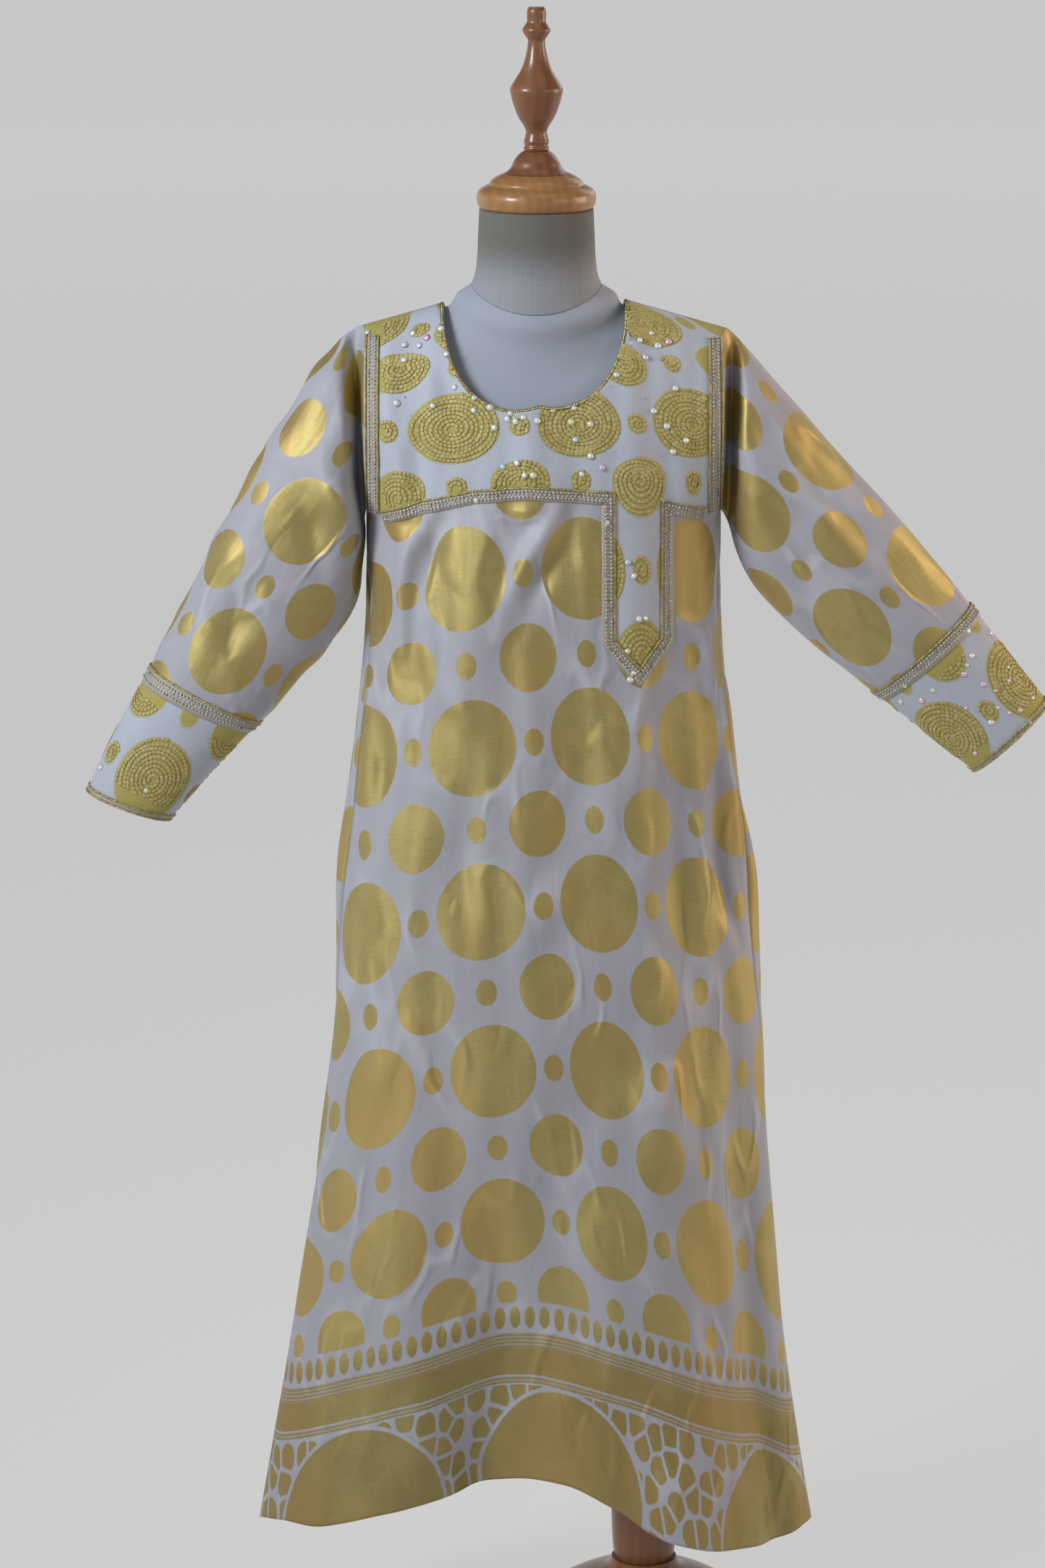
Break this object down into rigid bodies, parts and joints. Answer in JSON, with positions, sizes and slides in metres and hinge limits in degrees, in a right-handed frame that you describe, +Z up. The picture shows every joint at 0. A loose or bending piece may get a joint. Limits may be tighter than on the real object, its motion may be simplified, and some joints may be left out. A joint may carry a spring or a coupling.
{
  "type": "thobe on a dress form",
  "caption": "A child's satin brocade thobe with wide sleeves and an embroidered yoke, worn by a limbless dress form on a turned wooden stand.",
  "frame": {"origin": "centre of the flat underside of the stand's foot, on the floor", "axes": "+Z up, -Y out of the garment's front, +X towards the wearer's left sleeve"},
  "size_m": [0.924, 0.302, 1.6126],
  "materials": {
    "brocade": "satin with woven metallic gold discs",
    "gold_braid": "metallic thread and beads",
    "jersey": "matt knit",
    "linen": "matt weave",
    "amber_wood": "glossy lacquer",
    "red_wood": "glossy lacquer"
  },
  "bodies": {
    "root": {"front_panel": "brocade", "back_panel": "brocade", "sleeve_left": "brocade", "sleeve_right": "brocade", "neck_binding": "gold_braid", "armhole_braid_left": "gold_braid", "armhole_braid_right": "gold_braid", "yoke_braid": "gold_braid", "cuff_braid_left": "gold_braid", "cuff_braid_right": "gold_braid", "cuff_edge_left": "gold_braid", "cuff_edge_right": "gold_braid", "form_torso": "jersey", "form_neck": "linen", "neck_cap": "amber_wood", "finial_collar": "red_wood", "finial": "red_wood", "post": "red_wood", "foot": "red_wood"}
  },
  "joints": []
}
